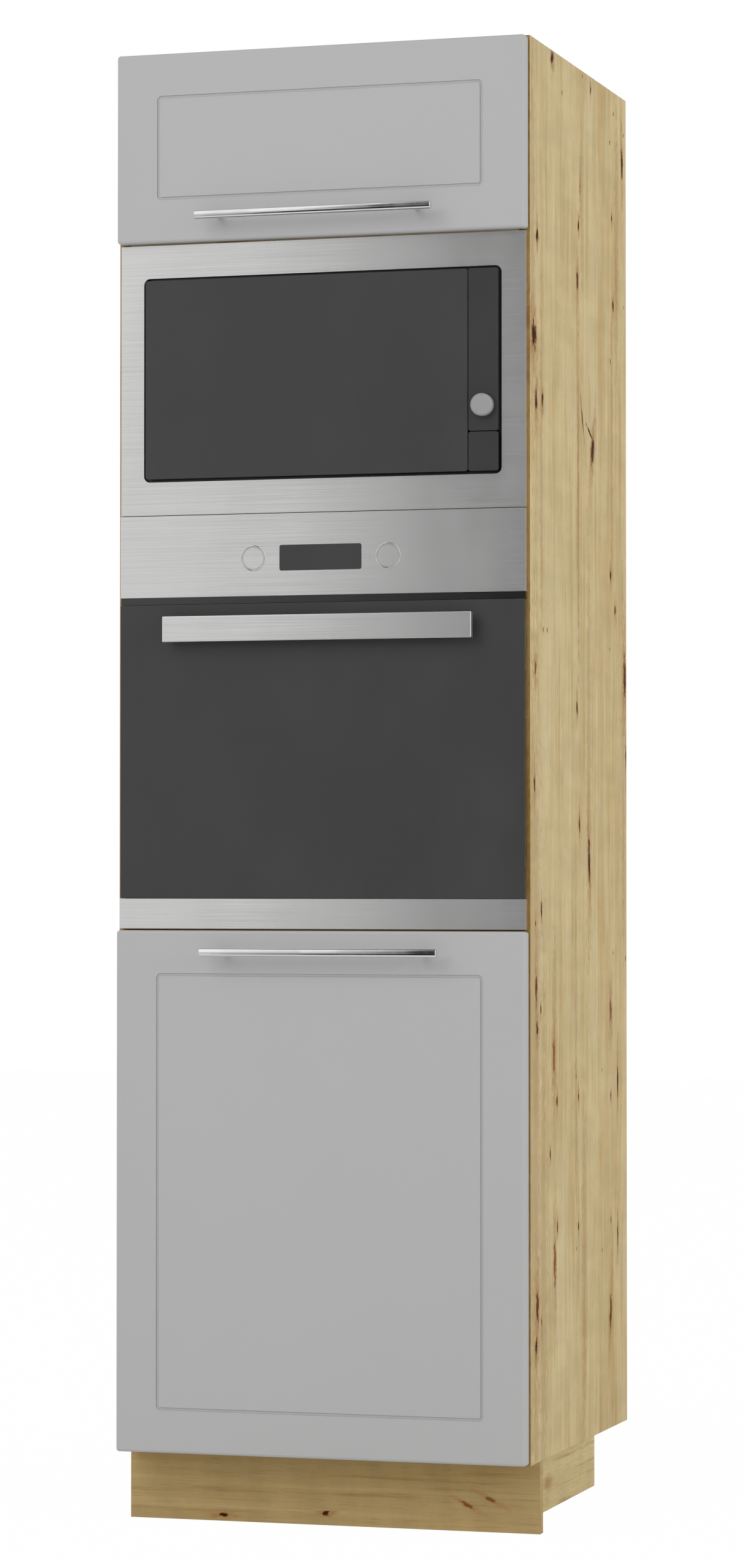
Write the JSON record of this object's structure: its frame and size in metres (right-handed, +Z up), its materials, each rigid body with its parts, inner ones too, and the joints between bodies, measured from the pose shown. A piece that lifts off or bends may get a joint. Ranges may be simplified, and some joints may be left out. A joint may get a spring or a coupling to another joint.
{
  "type": "tall oven housing unit",
  "caption": "Tall kitchen housing with a lift-up flap, built-in microwave and oven, and a lower cupboard behind a side-hung door.",
  "frame": {"origin": "middle of the whole unit's footprint, on the floor", "axes": "+X to the right seen from the front, +Y to the wall behind, +Z up"},
  "size_m": [0.6, 0.618, 2.07],
  "materials": {
    "oak_board": "oak-look foil on chipboard, matt, with dark knots",
    "plinth_oak": "oak-look foil, grain along the plinth, matt",
    "grey_front": "grey lacquer on fibreboard, matt",
    "hardboard": "thin hardboard with a pale print",
    "bright_chrome": "polished chrome plating",
    "brushed_steel": "fine horizontal brushing",
    "plated_steel": "nickel-plated steel",
    "galvanised_sheet": "galvanised sheet steel, dull",
    "black_glass": "black printed toughened glass, glossy",
    "dark_enamel": "black enamel with fine pale specks",
    "light_enamel": "pale enamelled steel",
    "black_plastic": "black moulded plastic, matt",
    "grey_plastic": "silver-painted plastic, satin",
    "white_plastic": "white moulded plastic",
    "seal_rubber": "grey-black silicone seal",
    "clear_glass": "clear toughened glass",
    "wire": "chromed steel wire"
  },
  "bodies": {
    "housing": {"side_panel_left": "oak_board", "side_panel_right": "oak_board", "top_panel": "oak_board", "bottom_panel": "oak_board", "oven_shelf": "oak_board", "microwave_shelf": "oak_board", "flap_shelf": "oak_board", "back_panels": "hardboard", "rear_rails": "oak_board", "plinth_front": "plinth_oak", "plinth_sides": "plinth_oak", "plinth_back": "plinth_oak", "adjustable_shelf": "oak_board", "shelf_pins": "plated_steel", "wall_brackets": "galvanised_sheet", "hinge_arms": "plated_steel", "lift_boxes": "white_plastic", "oven_casing": "galvanised_sheet", "oven_cavity": "dark_enamel", "oven_front_frame": "dark_enamel", "oven_control_panel": "brushed_steel", "oven_display": "black_glass", "oven_vent_strip": "black_plastic", "oven_bottom_trim": "brushed_steel", "oven_door_seal": "seal_rubber", "oven_fan_cover": "dark_enamel", "oven_fan_motor": "galvanised_sheet", "grill_element": "dark_enamel", "rack_ladders": "wire", "oven_rack": "wire", "baking_tray": "dark_enamel", "microwave_casing": "galvanised_sheet", "microwave_cavity": "light_enamel", "microwave_frame": "brushed_steel", "microwave_control_panel": "black_glass", "oven_lamp": "clear_glass"},
    "lower_door": {"lower_door": "grey_front", "lower_door_handle": "bright_chrome", "lower_hinge_cups": "plated_steel"},
    "lower_links": {"lower_hinge_links": "plated_steel"},
    "flap": {"flap_door": "grey_front", "flap_handle": "bright_chrome", "flap_hinge_cups": "plated_steel", "flap_lift_brackets": "plated_steel"},
    "flap_links": {"flap_hinge_links": "plated_steel"},
    "lift_arms": {"lift_arms": "plated_steel"},
    "lift_links": {"lift_links": "plated_steel"},
    "oven_door": {"oven_door_glass": "black_glass", "oven_door_frame": "galvanised_sheet", "oven_inner_glass": "black_glass", "oven_handle": "brushed_steel", "oven_door_hinges": "plated_steel"},
    "fan": {"oven_fan": "plated_steel"},
    "left_shaft": {"left_knob_shaft": "plated_steel"},
    "left_knob": {"left_knob": "grey_plastic"},
    "right_shaft": {"right_knob_shaft": "plated_steel"},
    "right_knob": {"right_knob": "grey_plastic"},
    "microwave_door": {"microwave_door": "black_glass"},
    "microwave_knob": {"microwave_knob": "grey_plastic"},
    "release_button": {"door_release_button": "black_glass"},
    "turntable": {"turntable": "clear_glass"}
  },
  "joints": [
    {"name": "lower_door_hinge", "type": "hinge", "parent": "housing", "child": "lower_door", "pos_m": [-0.292, -0.274, 0.467], "axis": [0, 0, -1], "range_deg": [0, 95]},
    {"name": "lower_link_hinge", "type": "hinge", "parent": "housing", "child": "lower_links", "pos_m": [-0.257, -0.251, 0.467], "axis": [0, 0, 1], "range_deg": [0, 38.5]},
    {"name": "flap_hinge", "type": "hinge", "parent": "housing", "child": "flap", "pos_m": [0, -0.274, 2.0625], "axis": [-1, 0, 0], "range_deg": [0, 90]},
    {"name": "flap_link_hinge", "type": "hinge", "parent": "housing", "child": "flap_links", "pos_m": [0, -0.251, 2.0275], "axis": [1, 0, 0], "range_deg": [0, 36.5]},
    {"name": "lift_arm_hinge", "type": "hinge", "parent": "housing", "child": "lift_arms", "pos_m": [0, -0.212, 2.0285], "axis": [-1, 0, 0], "range_deg": [0, 90.5]},
    {"name": "lift_link_hinge", "type": "hinge", "parent": "lift_arms", "child": "lift_links", "pos_m": [0, -0.18, 1.9445], "axis": [-1, 0, 0], "range_deg": [-90.5, 0]},
    {"name": "oven_door_hinge", "type": "hinge", "parent": "housing", "child": "oven_door", "pos_m": [0, -0.2635, 0.8845], "axis": [1, 0, 0], "range_deg": [0, 90]},
    {"name": "fan_spin", "type": "hinge", "parent": "housing", "child": "fan", "pos_m": [0, 0.174, 1.0758], "axis": [0, 1, 0], "continuous": true},
    {"name": "left_knob_turn", "type": "hinge", "parent": "housing", "child": "left_shaft", "pos_m": [-0.0985, -0.194, 1.3541], "axis": [0, 1, 0], "range_deg": [0, 300]},
    {"name": "left_knob_pop", "type": "slide", "parent": "left_shaft", "child": "left_knob", "axis": [0, -1, 0], "range_m": [0, 0.02]},
    {"name": "right_knob_turn", "type": "hinge", "parent": "housing", "child": "right_shaft", "pos_m": [0.0985, -0.194, 1.3541], "axis": [0, 1, 0], "range_deg": [0, 300]},
    {"name": "right_knob_pop", "type": "slide", "parent": "right_shaft", "child": "right_knob", "axis": [0, -1, 0], "range_m": [0, 0.02]},
    {"name": "microwave_door_hinge", "type": "hinge", "parent": "housing", "child": "microwave_door", "pos_m": [-0.2515, -0.267, 1.608], "axis": [0, 0, -1], "range_deg": [0, 95]},
    {"name": "microwave_knob_turn", "type": "hinge", "parent": "housing", "child": "microwave_knob", "pos_m": [0.2365, -0.26, 1.5588], "axis": [0, 1, 0], "range_deg": [0, 300]},
    {"name": "release_button_press", "type": "slide", "parent": "housing", "child": "release_button", "axis": [0, 1, 0], "range_m": [0, 0.0035], "stiffness_N_per_m": 400, "springref_m": -0.002},
    {"name": "turntable_spin", "type": "hinge", "parent": "housing", "child": "turntable", "pos_m": [-0.01165, -0.088, 1.5], "axis": [0, 0, 1], "continuous": true}
  ],
  "couplings": [
    {"joint": "lower_link_hinge", "follows": "lower_door_hinge", "ratio": 0.4},
    {"joint": "flap_link_hinge", "follows": "flap_hinge", "ratio": 0.4},
    {"joint": "lift_arm_hinge", "follows": "flap_hinge", "ratio": 1},
    {"joint": "lift_link_hinge", "follows": "flap_hinge", "ratio": -1}
  ]
}
